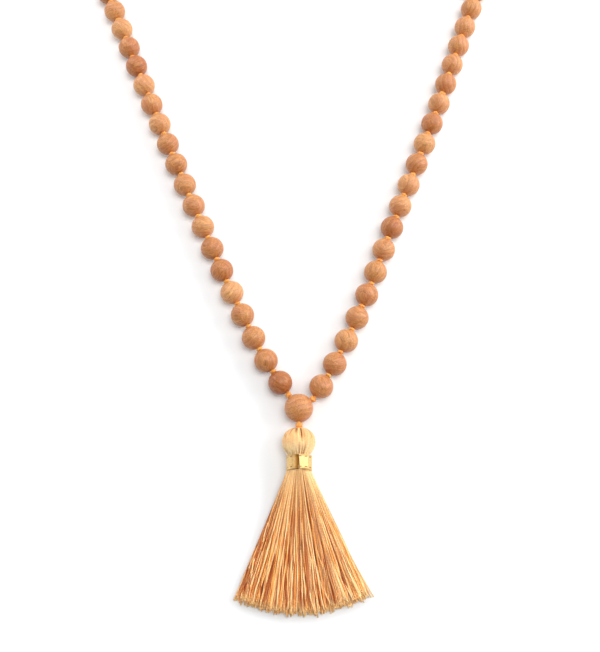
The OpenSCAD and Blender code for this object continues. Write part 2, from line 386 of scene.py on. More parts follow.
# The string is one twisted orange thread. It runs through every bead, is tied in a tight overhand knot
# after each, meets itself inside the guru bead, and goes on, doubled, to a thicker knot and a loop in the
# tassel's head.
THREAD_SIDES = 8
# The thread's radius in the beads, its radius in the knots, where it bulges, and the doubled thread's
THREAD_R = 0.4 * MM
KNOT_THREAD_R = 0.46 * MM
TAIL_R = 0.58 * MM
THREAD_PLIES = 3
# How far along a thread one ply lies from the next, in millimetres
THREAD_LAY = 1.1
PLY_DEPTH = 0.09 * MM
# Where the thread has its points in a bead, and where it leaves the guru bead's foot, as shares of the
# bead's radius from its middle
IN_BORE = [-0.8, 0, 0.8]
AT_FOOT = 0.9
DOWN = np.array([0.0, -1.0, 0.0])
# How wide the gaps beside the guru bead are, how long the knot under it is and its room at both ends, how
# far the loop's top lies inside the head, and the loop's radius
GURU_GAP = 2.1 * MM
END_KNOT = 2.0 * MM
END_KNOT_GAP = 0.1 * MM
LOOP_DEPTH = 1.2 * MM
LOOP_R = 1.4 * MM
LOOP_STEPS = 33
# An overhand knot goes round twice. Its thread swings out and in, and to and fro, three times in two turns.
KNOT_ROUND = 4 * np.pi
KNOT_SWINGS = 3 / 2
# How far round its first point is, in radians
KNOT_START = 0.3
KNOT_STEPS = 42
# Where the thread turns from its way in to its way round, as a share of half a turn
KNOT_OPENING = 0.45


def overhand_knot(at, way, round_r, swing_r, depth, reach):
    """The middle line of a thread that comes in along a way, ties round itself and goes out again."""
    turn = np.linspace(KNOT_START, KNOT_ROUND - KNOT_START, KNOT_STEPS)
    opened = np.clip(np.minimum(turn, KNOT_ROUND - turn) / (np.pi * KNOT_OPENING), 0, 1)
    opened = opened ** 2 * (3 - 2 * opened)
    spin = turn + chance.uniform(0, 2 * np.pi)
    out = (round_r + swing_r * np.cos(KNOT_SWINGS * turn)) * opened
    in_or_out = np.sign(turn - KNOT_ROUND / 2)
    forward = depth * np.sin(KNOT_SWINGS * turn) * opened + reach * (1 - opened) * in_or_out
    right = unit(np.cross(UP, way))
    over = np.cross(way, right)
    aside = np.outer(out * np.cos(spin), right) + np.outer(out * np.sin(spin), over)
    return at + aside + np.outer(forward, way)


def carried_along(path):
    """A sideways direction at each point of a path, which turns with it and never twists about it."""
    ahead = unit(np.gradient(path, axis=0))
    side = np.cross(ahead[0], UP)
    sides = []
    for way in ahead:
        side = unit(side - (side @ way) * way)
        sides.append(side)
    return np.array(sides)


def thread_tubes(paths, radii, side_ways, sides):
    """Round threads along paths: points, faces, and how far round and along (in mm) each face corner is."""
    count, rings = paths.shape[:2]
    ahead = unit(np.gradient(paths, axis=1))
    right = unit(side_ways - (side_ways * ahead).sum(axis=2, keepdims=True) * ahead)
    over = np.cross(ahead, right)
    turn = 2 * np.pi * np.arange(sides) / sides
    spokes = np.cos(turn)[:, None] * right[:, :, None] + np.sin(turn)[:, None] * over[:, :, None]
    points = paths[:, :, None] + radii[:, :, None, None] * spokes
    steps = np.linalg.norm(np.diff(paths, axis=1), axis=2) / MM
    run = np.concatenate([np.zeros((count, 1)), np.cumsum(steps, axis=1)], axis=1)
    starts = rings * sides * np.arange(count)
    walls = (grid_faces(rings, sides)[:, ::-1] + starts[:, None, None]).reshape(-1, 4)
    heads = starts[:, None] + np.arange(sides)[::-1]
    feet = starts[:, None] + (rings - 1) * sides + np.arange(sides)
    faces = walls.tolist() + heads.tolist() + feet.tolist()
    corners = np.concatenate([walls.ravel(), heads.ravel(), feet.ravel()])
    around = (corners % sides) / sides
    # The last wall of each ring closes on the first point, which lies a whole turn further there
    closing = np.zeros(len(corners), bool)
    closing[:walls.size] = (walls % sides == sides - 1).any(axis=1).repeat(4)
    around = np.where(closing & (corners % sides == 0), 1.0, around)
    along = run.repeat(sides, axis=1).ravel()[corners]
    return points.reshape(-1, 3), faces, np.c_[around, along]


def keep_strand(piece, corners):
    """Stores how far round and along its thread each face corner lies. Twists are drawn on that map."""
    layer = piece.data.uv_layers.new(name="strand")
    layer.data.foreach_set("uv", np.asarray(corners, np.float32).ravel())


def kept_strand(finish):
    """What keep_strand stored, as a vector."""
    return finish.add("UVMap", {}, uv_map="strand")


def twist(finish, plies, lay):
    """Height of the plies of a twisted thread, from 0 to 1."""
    around, along = finish.parts(kept_strand(finish))[:2]
    round_it = finish.maths("MULTIPLY", around, plies)
    turns = finish.maths("MULTIPLY_ADD", along, 1 / lay, round_it)
    return finish.ridges(finish.maths("MULTIPLY", turns, np.pi))


def knotting_thread():
    """Glossy orange thread of three plies, with painted shade in the grooves between them."""
    thread = Finish("twisted_orange_thread", Specular_IOR_Level=0.5, Sheen_Weight=0.25, Sheen_Roughness=0.4)
    plies = twist(thread, THREAD_PLIES, THREAD_LAY)
    faded = thread.noise(thread.add("TexCoord", {}, "Object"), 260.0)
    lit = thread.mixed(thread.between(faded, 0.35, 0.65), dye("f09a42"), dye("f7b658"))
    # Painted shade: where the plies dip, the colour is mixed towards a deeper orange
    colour = thread.mixed(thread.between(plies, 0.0, 0.5, 0.7, 0.0), lit, dye("d8782a"))
    return thread.surface(Base_Color=colour, Roughness=0.42, Normal=thread.raised(plies, PLY_DEPTH))


bead_gap = np.linalg.norm(beads[1] - beads[0]) - 2 * bead_r
# Each knot's shape: how far it goes round, how far it swings out and forward, and how far it reaches
GURU_KNOT = (0.68 * MM, 0.17 * MM, 0.45 * MM, GURU_GAP / 2)
BEAD_KNOT = (0.62 * MM, 0.16 * MM, 0.15 * MM, bead_gap / 2)
TAIL_KNOT = (0.74 * MM, 0.15 * MM, 0.46 * MM, END_KNOT / 2)
string_parts = [(guru_at[None], THREAD_R)]


def tie(at, way, shape):
    """Ties the next knot of the string."""
    string_parts.append((overhand_knot(at, way, *shape), KNOT_THREAD_R))


first_knot = beads[0] - ways[0] * (bead_r + GURU_GAP / 2)
last_knot = beads[-1] + ways[-1] * (bead_r + GURU_GAP / 2)
tie(first_knot, unit(first_knot - guru_at + ways[0] * GURU_GAP), GURU_KNOT)
for k, (bead, way) in enumerate(zip(beads, ways)):
    string_parts.append((bead + np.outer(IN_BORE, way) * bead_r, THREAD_R))
    if k < len(beads) - 1:
        tie((bead + beads[k + 1]) / 2, unit(way + ways[k + 1]), BEAD_KNOT)
tie(last_knot, unit(guru_at - last_knot + ways[-1] * GURU_GAP), GURU_KNOT)
string_parts.append((guru_at[None], THREAD_R))
string_path = np.vstack([points for points, radius in string_parts])
string_r = np.concatenate([np.full(len(points), radius) for points, radius in string_parts])

end_knot = guru_at + DOWN * (guru_r + END_KNOT_GAP + END_KNOT / 2)
head_top = end_knot + DOWN * (END_KNOT / 2 + END_KNOT_GAP)
loop_at = head_top + DOWN * (LOOP_DEPTH + LOOP_R)
tail_path = np.vstack([
    guru_at,
    guru_at + DOWN * guru_r * AT_FOOT,
    overhand_knot(end_knot, DOWN, *TAIL_KNOT),
    head_top + DOWN * LOOP_DEPTH / 2,
    loop_at - DOWN * LOOP_R,
])
loop_turn = np.linspace(0, 2 * np.pi, LOOP_STEPS)
loop_path = loop_at + LOOP_R * (np.outer(np.cos(loop_turn), -DOWN) + np.outer(np.sin(loop_turn), UP))

thread_points, thread_faces, thread_corners = [], [], []
for line, radii in (
    (string_path, string_r),
    (tail_path, np.full(len(tail_path), TAIL_R)),
    (loop_path, np.full(len(loop_path), THREAD_R)),
):
    points, faces, corners = thread_tubes(line[None], radii[None], carried_along(line)[None], THREAD_SIDES)
    start = sum(map(len, thread_points))
    thread_faces += [[start + p for p in face] for face in faces]
    thread_points.append(points)
    thread_corners.append(corners)
thread = new_piece(
    "knotted_thread", np.vstack(thread_points), thread_faces, knotting_thread(), "thread"
)
keep_strand(thread, np.vstack(thread_corners))

# The tassel's head is the middle of a hank of silk threads, folded over the thread's loop. The threads
# come up out of the middle, lie side by side round the head, and are gathered to a neck under the ribbon.
SILK_R = 0.22 * MM
SILK_SIDES = 6
# Silk thread has two plies. Its lay is how far along it one lies from the next, in millimetres.
SILK_PLIES = 2
SILK_LAY = 0.9
SILK_PLY_DEPTH = 0.03 * MM
# How often a silk thread's dye fades in a millimetre, and how far apart the threads' patterns are drawn
FADES = 0.16
FADES_APART = 61.0
HEAD_THREADS = 190
HEAD_RINGS = 34
# How unevenly the threads lie: aside, as a share of their spacing, and in depth
THREADS_ASIDE = 0.4
THREADS_SUNK = 0.16 * MM
# The head's outline: how far along it, as a share of its length, and its radius in millimetres
HEAD_OUTLINE = [
    (0.1, 0.7), (0.02, 1.0), (0.0, 1.6), (0.02, 2.4), (0.09, 3.55), (0.19, 4.55), (0.31, 5.15),
    (0.46, 5.42), (0.6, 5.36), (0.74, 4.95), (0.86, 4.3), (0.94, 3.8), (1.02, 3.55), (1.12, 3.5),
]
# How many steps a smooth curve takes from one given point to the next
CURVE_STEPS = 12
# Folds where threads part: degrees from the top of the head, from and to along it, then the fold's depth,
# its half width and the width of the painted shade along its edges in millimetres
HEAD_FOLDS = [
    (12, -0.12, 0.6, 1.1, 0.4, 0.16),
    (-14, -0.12, 0.32, 0.6, 0.3, 0.22),
    (-38, -0.12, 0.36, 0.4, 0.18, 0.2),
    (-60, -0.12, 0.6, 0.5, 0.22, 0.24),
    (58, -0.12, 0.6, 0.5, 0.22, 0.24),
    (2, 0.5, 1.5, 0.3, 0.12, 0.15),
    (15, 0.62, 1.4, 0.3, 0.1, 0.15),
    (27, 0.54, 1.5, 0.3, 0.12, 0.15),
    (-13, 0.7, 1.4, 0.2, 0.08, 0.12),
    (-33, 0.84, 1.4, 0.2, 0.1, 0.1),
    (-75, 0.76, 1.4, 0.25, 0.14, 0.13),
    (60, 0.8, 1.4, 0.2, 0.12, 0.1),
    (98, 0.62, 1.3, 0.4, 0.12, 0.13),
    (130, 0.0, 0.5, 0.4, 0.12, 0.13),
    (166, 0.6, 1.3, 0.4, 0.12, 0.13),
    (-120, 0.62, 1.3, 0.4, 0.12, 0.13),
    (-150, 0.0, 0.45, 0.4, 0.12, 0.13),
]
# How far to its sides a fold draws the threads down, and how blunt its two ends are: 1 is a plain arc, and
# less is blunter
FOLD_SPAN = 0.9 * MM
FOLD_ENDS = 0.7
# Dyes run from 0, the deepest, to 1, the palest: the head's least and most, and how much paler it is
# painted between two places along it, as painted light on its lower part
HEAD_DYES = (0.36, 0.64)
PAINTED_PALER_BELOW = 0.45
PAINTED_PALER_FROM_TO = (0.45, 0.85)
# Painted shade: how much darker the head's threads are painted at its top at the most, where along it that
# fades, and how much darker the edges of its folds are painted
PAINTED_TOP_SHADE = 0.22
TOP_SHADE_FADES = (0.1875, 0.8125)
PAINTED_FOLD_SHADE = 0.75


def ramp(places, start, end):
    """Rises evenly from 0 at the start to 1 at the end."""
    return np.clip((places - start) / (end - start), 0, 1)


def smooth_line(knots, count):
    """A smooth curve through a few points, at even steps of its own length."""
    p = np.array(knots, float)
    p = np.vstack([2 * p[0] - p[1], p, 2 * p[-1] - p[-2]])
    t = np.linspace(0, 1, CURVE_STEPS, endpoint=False)[:, None]
    legs = []
    for a, b, c, d in zip(p[:-3], p[1:-2], p[2:-1], p[3:]):
        bend = (2 * a - 5 * b + 4 * c - d) * t ** 2 + (3 * b - a - 3 * c + d) * t ** 3
        legs.append(b + ((c - a) * t + bend) / 2)
    fine = np.vstack(legs + [p[-2:-1]])
    run = np.concatenate([[0], np.cumsum(np.linalg.norm(np.diff(fine, axis=0), axis=1))])
    even = np.linspace(0, run[-1], count)
    return np.stack([np.interp(even, run, column) for column in fine.T], axis=-1)


def silk_floss():
    """Glossy silk: each thread's own dye, fading along it, its twist, and painted shade."""
    silk = Finish(
        "silk_floss",
        Specular_IOR_Level=0.35,
        Sheen_Weight=0.05,
        Sheen_Roughness=0.4,
        Subsurface_Weight=0.3,
        Subsurface_Scale=2.5 * MM,
        Subsurface_Radius=(1.0, 0.7, 0.35),
    )
    silk.shader.subsurface_method = "BURLEY"
    dye_and_painted_light = silk.kept("dye_and_painted_light")
    own_pattern = silk.add("CombineXYZ", {0: silk.maths("MULTIPLY", dye_and_painted_light, FADES_APART)})
    faded = silk.noise(silk.shifted(kept_strand(silk), (0.0, FADES, 0.0), own_pattern), 1.0, 3.0)
    light = silk.mixed(dye_and_painted_light, dye("e6a656"), dye("f4daa8"))
    deep = silk.mixed(dye_and_painted_light, dye("d07c2e"), dye("eec88c"))
    body = silk.mixed(silk.between(faded, 0.36, 0.64), light, deep)
    # Painted shade: a deep brown for the shade in the head's folds and top, in its filling and in the skirt
    colour = silk.mixed(silk.kept("inside"), body, dye("9c4606"))
    rough = silk.between(faded, 0.3, 0.7, 0.32, 0.44)
    plies = twist(silk, SILK_PLIES, SILK_LAY)
    return silk.surface(Base_Color=colour, Roughness=rough, Normal=silk.raised(plies, SILK_PLY_DEPTH))


band_low, band_high = (np.array(corner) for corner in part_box("tassel_band"))
tassel_low, tassel_high = (np.array(corner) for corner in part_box("tassel"))
axis_x, axis_z = (band_low + band_high)[[0, 2]] / 2
head_l = tassel_high[1] - band_high[1]
outline = smooth_line(HEAD_OUTLINE, HEAD_RINGS)


def head_places(azimuths, sunk):
    """Threads over the head, each sunk so deep: paths, turns round it, and nearness to a fold's painted
    shade.
    """
    azimuth = np.broadcast_to(azimuths[:, None], (len(azimuths), HEAD_RINGS)).copy()
    depth = np.broadcast_to(sunk[:, None], azimuth.shape).copy()
    in_fold = np.zeros_like(azimuth)
    along, radius = outline[:, 0], outline[:, 1] * MM
    for degrees, start, end, fold_depth, half_width, dark_edge in HEAD_FOLDS:
        strength = np.sin(np.pi * ramp(along, start, end)) ** FOLD_ENDS
        off = (azimuth - math.radians(degrees) + np.pi) % (2 * np.pi) - np.pi
        parted = np.hypot(off, half_width * MM * strength / radius) * np.where(off < 0, -1, 1)
        depth += fold_depth * MM * strength * np.exp(-(parted * radius / FOLD_SPAN) ** 2)
        azimuth += parted - off
        from_edge = np.abs(parted) * radius - half_width * MM * strength
        # Nearness to a fold's edge, by which the head's threads get painted shade
        in_fold = np.maximum(in_fold, strength * np.exp(-(from_edge / (dark_edge * MM)) ** 2))
    r = radius - SILK_R - depth
    x = axis_x + r * np.sin(azimuth)
    y = np.broadcast_to(tassel_high[1] - along * head_l, x.shape)
    z = np.maximum(axis_z + r * np.cos(azimuth), SILK_R)
    return np.stack([x, y, z], axis=-1), azimuth, in_fold


spaced = np.arange(HEAD_THREADS) + chance.uniform(-THREADS_ASIDE, THREADS_ASIDE, HEAD_THREADS)
sunk = chance.uniform(0, THREADS_SUNK, HEAD_THREADS)
head_paths, head_turns, fold_shade = head_places(2 * np.pi * spaced / HEAD_THREADS, sunk)
round_head = np.stack([np.cos(head_turns), np.zeros_like(head_turns), -np.sin(head_turns)], axis=-1)
head_points, head_faces, head_corners = thread_tubes(
    head_paths, np.full(head_paths.shape[:2], SILK_R), round_head, SILK_SIDES
)
silk = silk_floss()
head = new_piece("silk_head", head_points, head_faces, silk, "tassel")
keep_strand(head, head_corners)
along_head = outline[:, 0]
# Painted light: the head's lower part is painted paler
dye_and_painted_light = chance.uniform(*HEAD_DYES, (HEAD_THREADS, 1)) + PAINTED_PALER_BELOW * ramp(along_head, *PAINTED_PALER_FROM_TO)
keep_value(head, "dye_and_painted_light", np.minimum(dye_and_painted_light, 1).repeat(SILK_SIDES))
# Painted shade at the head's top, fading downwards, and along the edges of its folds
top_shade = np.outer(chance.uniform(0, PAINTED_TOP_SHADE, HEAD_THREADS), 1 - ramp(along_head, *TOP_SHADE_FADES))
keep_value(head, "inside", np.maximum(PAINTED_FOLD_SHADE * fold_shade, top_shade).repeat(SILK_SIDES))

# The filling of the head is the hank's inner threads, packed under those of the surface. It is given full
# painted shade, so that only a dark brown shows between the outer threads.
FILLING_SIDES = 64
FILLING_SUNK = 0.42 * MM
FILLING_DYE = 0.5


def end_faces(rings, sides):
    """The two faces that close a tube at its first and at its last ring."""
    last = rings * sides - 1
    return [list(range(sides)), list(range(last, last - sides, -1))]


filling_azimuths = 2 * np.pi * np.arange(FILLING_SIDES) / FILLING_SIDES
filling_paths = head_places(filling_azimuths, np.full(FILLING_SIDES, FILLING_SUNK))[0]
filling_points = filling_paths.transpose(1, 0, 2).reshape(-1, 3)
filling_walls = grid_faces(HEAD_RINGS, FILLING_SIDES)[:, ::-1].tolist()
filling_faces = filling_walls + end_faces(HEAD_RINGS, FILLING_SIDES)
filling = new_piece("silk_head_filling", filling_points, filling_faces, silk, "tassel")
filling.data.uv_layers.new(name="strand")
keep_value(filling, "dye_and_painted_light", np.full(len(filling_points), FILLING_DYE))
# Painted shade over the whole filling
keep_value(filling, "inside", np.ones(len(filling_points)))

# The skirt is the hank's two loose ends, spread in a fan on the surface and trimmed to one length. Threads
# leave the neck packed together, cross each other as they spread, and end in blunt cuts.
SKIRT_RINGS = 26
# The radius of its threads, half its height at their cut ends, and its own radius at the neck
SKIRT_R = 0.2 * MM
END_HALF_H = 1.3 * MM
NECK_R = 3.6 * MM
# Half the angle that the skirt spreads over, and how far it leans to the right
FAN = math.radians(24.0)
LEAN = math.radians(1.5)
# How far inside the ribbon its threads start, at the least and at the most
NECK_STARTS = (0.2 * MM, 1.2 * MM)
# Its layers from the top down: how many threads, their height from -1 to 1, how much that varies, how much
# longer than the top ones they are, in millimetres, and how much painted shade they get for lying under
# others
UPPER_LAYERS = [
    (100, 1.0, 0.1, 0.0, 0.0),
    (105, 0.76, 0.12, 0.15, 0.4),
    (110, 0.5, 0.12, 0.3, 0.8),
    (112, 0.2, 0.14, 0.4, 1.0),
]
UNDER_LAYERS = [
    (95, -0.1, 0.12, 0.5, 1.0),
    (95, -0.4, 0.12, 0.55, 0.8),
    (95, -0.7, 0.1, 0.6, 0.5),
    (95, -1.0, 0.06, 0.6, 0.2),
]
# Threads cling together in locks, each drawn this share of its way to its lock's middle
LOCKS = 50
LOCK_PULL = 0.5
# The share of the neck's width that the threads keep to
NECK_SHARE = 0.98
# How unevenly a layer's locks lie, all together and one by one, and its threads at the neck, at their ends
# and in height, as shares of half the section
LAYER_ASIDE = 0.02
LOCKS_ASIDE = 0.015
NECK_ASIDE = 0.035
ENDS_ASIDE = 0.012
NECK_HEIGHTS = 0.03
# What grows with these powers of the share of a thread's way from the neck: the skirt's width, how far the
# threads have taken their end places, the pull of the locks, and the sway
WIDENS, SETTLES, CLINGS, SWAYS = 0.97, 0.8, 0.35, 1.3
# What shrinks with these powers of the share that is left: the skirt's height, and how high it is carried
FLATTENS, SINKS = 3, 4.2
# How unevenly the threads are cut, in millimetres, and how much shorter at the skirt's two sides
CUT_VARIES = 0.6
ENDS_CURVE = 1.3 * MM
# The locks' mean dye and its spread, how far a thread may be off its lock's dye, and how much deeper the
# dye is painted at the skirt's left side, away from the main light, as painted shade
LOCK_DYES = (0.42, 0.1)
THREAD_DYES = 0.5
PAINTED_SHADE_LEFT = 0.18
# Painted shade: the share of threads, drawn at random, that get much more of it, how much, and how much
# less it is at the right side, where the light comes from
SHADED_SHARE = 0.38
EXTRA_SHADE = 0.85
LESS_SHADE_RIGHT = 0.45
# Threads are palest where they are packed at the neck, and painted pale again at their cut ends, which lie
# in
# shade, as painted light: what share of the deeper dye is left there, and over what share of the length it
# comes back
PALE_NECK = (0.35, 0.325)
PAINTED_PALE_ENDS = (0.5, 0.045)
# How far threads sway, what share of it up and down, and how many waves they make on their way
SWAY = 0.32 * MM
SWAY_UP = 0.6
WAVES = (0.8, 4.0)
# How much their thickness varies, what share of it they have at the neck and lower down, and from where on
THICKNESS = (0.8, 1.1)
NECK_THICKNESS, FULL_THICKNESS, FULL_FROM = 0.65, 1.05, 0.625
# Stray threads: across and up from -1 to 1, the share of the length where they part, and how far out, in mm
STRAYS = [
    (1.0, -0.7, 0.6, 1.5),
    (0.98, -0.3, 0.78, 0.8),
    (-1.0, -0.6, 0.72, -0.8),
    (-0.97, -0.2, 0.86, -0.5),
]
STRAY_DYE = 0.5
# They bend outwards with this power of the way from where they part
STRAYS_BEND = 1.5
neck_end = band_low[1]
skirt_l = neck_end - tassel_low[1]


def skirt_layer(count, height, height_varies, longer, painted_thread_shade):
    """One layer of the skirt's threads, each with its places in the section, length, dye and painted shade.
    """
    across_end = np.linspace(-1, 1, count) + chance.normal(0, ENDS_ASIDE, count)
    locks = np.linspace(-1, 1, LOCKS) + chance.normal(0, LAYER_ASIDE) + chance.normal(0, LOCKS_ASIDE, LOCKS)
    own_lock = np.abs(across_end[:, None] - locks).argmin(axis=1)
    lock_dye = chance.normal(*LOCK_DYES, LOCKS)[own_lock]
    across_neck = across_end * NECK_SHARE + chance.normal(0, NECK_ASIDE, count)
    up_neck = height + chance.normal(0, NECK_HEIGHTS, count)
    up_end = height + chance.normal(0, height_varies, count)
    cut_at = skirt_l + (longer + chance.normal(0, CUT_VARIES, count)) * MM
    dye_and_painted_light = lock_dye + chance.uniform(-THREAD_DYES, THREAD_DYES, count)
    # Painted shade: more on a random share of threads, and less towards the right side
    darker = EXTRA_SHADE * (chance.random(count) < SHADED_SHARE) - LESS_SHADE_RIGHT * across_end.clip(0)
    return {
        "across_neck": np.clip(across_neck, -1, 1),
        "across_end": across_end,
        "pull": LOCK_PULL * (locks[own_lock] - across_end),
        "up_neck": np.clip(up_neck, -1, 1),
        "up_end": np.clip(up_end, -1, 1),
        "length": cut_at - ENDS_CURVE * across_end ** 2,
        # Painted shade: the dye is deepened towards the skirt's left side
        "dye_and_painted_light": np.clip(dye_and_painted_light + PAINTED_SHADE_LEFT * across_end.clip(-1, 0), 0, 1),
        "painted_thread_shade": np.clip(painted_thread_shade + darker, 0, 1),
        "parts_at": np.zeros(count),
        "outwards": np.zeros(count),
    }


def stray_threads():
    """The threads of the skirt that part from the rest."""
    across, up, parts_at, outwards = np.array(STRAYS).T
    none = np.zeros(len(STRAYS))
    return {
        "across_neck": across,
        "across_end": across,
        "pull": none,
        "up_neck": up,
        "up_end": up,
        "length": none + skirt_l,
        "dye_and_painted_light": none + STRAY_DYE,
        "painted_thread_shade": none,
        "parts_at": parts_at,
        "outwards": outwards,
    }


def skirt_places(threads, s):
    """Paths of threads from the neck, where s is 0, to their cut ends, where s is 1."""
    spread = s ** WIDENS
    settled = s ** SETTLES
    half_h = NECK_R + (END_HALF_H - NECK_R) * (1 - (1 - s) ** FLATTENS)
    middle = half_h + (axis_z - NECK_R) * (1 - s) ** SINKS
    across = threads["across_neck"] * (1 - settled) + threads["across_end"] * settled
    across = across + threads["pull"] * s ** CLINGS
    up = threads["up_neck"] * (1 - settled) + threads["up_end"] * settled
    length = threads["length"]
    heading = FAN * across + LEAN
    x = axis_x + across * (NECK_R - SKIRT_R) * NECK_SHARE + length * np.sin(heading) * spread
    y = neck_end + chance.uniform(*NECK_STARTS, length.shape) * (1 - s) - length * np.cos(heading) * s
    # The section is round at the neck, where the power is 2, and a flat cushion at the ends, where it is 5
    square = 2 + 3 * spread
    crown = (1 - np.minimum(np.abs(across), 1) ** square) ** (1 / square)
    z = middle + up * crown * (half_h - SKIRT_R)
    return np.stack([x, y, z], axis=-1)


def skirt_piece(name, layers):
    """A piece of the skirt, made of layers of threads."""
    threads = {key: np.concatenate([layer[key] for layer in layers])[:, None] for key in layers[0]}
    s = np.linspace(0, 1, SKIRT_RINGS)
    paths = skirt_places(threads, s)
    each = threads["length"].shape
    sway = chance.normal(0, SWAY, each) * s ** SWAYS
    swing = chance.uniform(0, 2 * np.pi, each) + chance.uniform(*WAVES, each) * 2 * np.pi * s
    strayed = threads["outwards"] * MM * ramp(s, threads["parts_at"], 1) ** STRAYS_BEND
    paths[:, :, 0] += sway * np.sin(swing) + strayed
    paths[:, :, 2] += SWAY_UP * sway * np.cos(swing)
    swell = NECK_THICKNESS + (FULL_THICKNESS - NECK_THICKNESS) * ramp(s, 0, FULL_FROM)
    radii = SKIRT_R * chance.uniform(*THICKNESS, each) * swell
    paths[:, :, 2] = np.maximum(paths[:, :, 2], radii)
    points, faces, corners = thread_tubes(paths, radii, np.broadcast_to(UP, paths.shape), SILK_SIDES)
    piece = new_piece(name, points, faces, silk, "tassel")
    keep_strand(piece, corners)
    neck_left, neck_over = PALE_NECK
    ends_left, ends_over = PAINTED_PALE_ENDS
    at_neck = neck_left + (1 - neck_left) * ramp(s, 0, neck_over)
    from_end = ramp(1 - s, 0, ends_over)
    # Less of the deeper dye is kept at the neck, and the cut ends are painted paler: painted light
    deeper = (1 - threads["dye_and_painted_light"]) * at_neck * (ends_left + (1 - ends_left) * from_end)
    keep_value(piece, "dye_and_painted_light", (1 - deeper).repeat(SILK_SIDES))
    # Painted shade: cut at the neck and fading out at the cut ends
    keep_value(piece, "inside", (threads["painted_thread_shade"] * at_neck * from_end).repeat(SILK_SIDES))


upper_layers = [skirt_layer(*layer) for layer in UPPER_LAYERS]
skirt_piece("silk_skirt_upper", upper_layers + [stray_threads()])
skirt_piece("silk_skirt_under", [skirt_layer(*layer) for layer in UNDER_LAYERS])

# A ribbon of gold thread is wound tight round the neck and glued down on itself. It is creased where it
# crosses the bundles of silk, and has a fine cord woven into each edge.
RIBBON_STEPS = 300
# Its thickness, its radius at the creases, and the thickness of the cords in its edges
RIBBON_T = 0.26 * MM
RIBBON_R = 4.12 * MM
EDGE_CORD = 0.5 * MM
# All places round the neck are in degrees from its top: the creases, where the ribbon's end lies, how far
# it runs on under that end, and where it starts to dip for it
CREASES = [-146, -104, -58, -27, 0, 41, 76, 112, 150, 180]
END_AT = 3
RUNS_UNDER = 40
DIPS_FROM = -27
# A crease is rounded by taking the mean radius of five ribbons, turned by these degrees
CREASE_ROUNDING = [-4, -2, 0, 2, 4]
# Its end is cut askew: degrees between the end's two corners, and the power with which that fades
ASKEW = 7
ASKEW_FADES = 8
# How far the end stands off, how much closer the ribbon lies further on, how fast it gets there, and how
# much the hidden run dips
STANDS_OFF = 0.12 * MM
CLOSER = 0.3 * MM
CLOSES = 1.15
DIPS = 0.65 * MM
# How close the weave's ridges are, round the neck and along it, in radians of their wave a millimetre
RIBS = 17.0
PICKS = 22.0
WEAVE_DEPTH = 0.02 * MM
# A row of stitches: its distance from the edge and half its width in millimetres, the wave on which the
# stitches lie in radians a millimetre, how high it is there, and how many weaves deep they sink
STITCH_ROW = (0.75, 0.16)
STITCH_WAVE = 3.8
STITCH_FROM = 0.2
STITCH_DEPTH = 3.0
# Where the ribbon goes in under its own end and is painted darker, as painted shade: millimetres round the
# neck
TUCKED_SHADE = (20.3, 22.0)
band_l = band_high[1] - band_low[1]
band_middle = (band_low[1] + band_high[1]) / 2


def creased_radius(turn):
    """The wound ribbon's radius: flat between its creases, which are a little rounded."""
    marks = np.radians([CREASES[-1] - 360, *CREASES, CREASES[0] + 360])
    total = 0
    for aside in np.radians(CREASE_ROUNDING):
        at = (turn + aside + np.pi) % (2 * np.pi) - np.pi
        leg = np.clip(np.searchsorted(marks, at) - 1, 0, len(marks) - 2)
        half = (marks[leg + 1] - marks[leg]) / 2
        total = total + RIBBON_R * np.cos(half) / np.cos(at - marks[leg] - half)
    return total / len(CREASE_ROUNDING)


def gold_ribbon():
    """Woven metal thread: fine ribs, a row of stitches along each edge, worn a little dull, and painted
    shade.
    """
    gold = Finish("gold_ribbon", Metallic=1.0)
    strand = kept_strand(gold)
    round_neck, along_neck = gold.parts(strand)[:2]
    ribs = gold.ridges(gold.maths("MULTIPLY", round_neck, RIBS))
    picks = gold.ridges(gold.maths("MULTIPLY", along_neck, PICKS))
    weave = gold.maths("MAXIMUM", ribs, picks)
    worn = gold.noise(strand, 1.3, 3.0)
    from_edge = gold.maths("SUBTRACT", band_l / 2 / MM, gold.maths("ABSOLUTE", along_neck))
    in_row = gold.maths("COMPARE", from_edge, *STITCH_ROW)
    wave = gold.maths("SINE", gold.maths("MULTIPLY", round_neck, STITCH_WAVE))
    stitches = gold.maths("MULTIPLY", in_row, gold.maths("GREATER_THAN", wave, STITCH_FROM))
    once_round = gold.maths("MODULO", round_neck, 2 * math.pi * NECK_R / MM)
    colour = gold.mixed(gold.between(worn, 0.35, 0.65), dye("f0d298"), dye("e4be7e"))
    # Painted shade: the dips of the weave are darkened to a brown gold
    colour = gold.mixed(gold.between(weave, 0.3, 0.8, 0.6, 0.0), colour, dye("a07434"))
    colour = gold.mixed(gold.maths("MULTIPLY", stitches, 0.75), colour, dye("5a3a14"))
    # Painted shade where the ribbon goes in under its own end
    colour = gold.mixed(gold.between(once_round, *TUCKED_SHADE), colour, dye("94642a"))
    rough = gold.between(worn, 0.3, 0.7, 0.5, 0.6)
    relief = gold.maths("SUBTRACT", weave, gold.maths("MULTIPLY", stitches, STITCH_DEPTH))
    return gold.surface(Base_Color=colour, Roughness=rough, Normal=gold.raised(relief, WEAVE_DEPTH))


# Half of the ribbon's outer side, from its edge in: how far in, and how far out from its own middle
half_side = [
    (0.0, 0.0),
    (0.08 * MM, 0.17 * MM),
    (0.25 * MM, EDGE_CORD / 2),
    (0.42 * MM, 0.17 * MM),
    (0.52 * MM, 0.1 * MM),
    (0.7 * MM, RIBBON_T / 2),
    (1.2 * MM, RIBBON_T / 2),
    (1.8 * MM, RIBBON_T / 2),
]
half_l = band_l / 2
out_side = [(y - half_l, r) for y, r in half_side] + [(half_l - y, r) for y, r in reversed(half_side)]
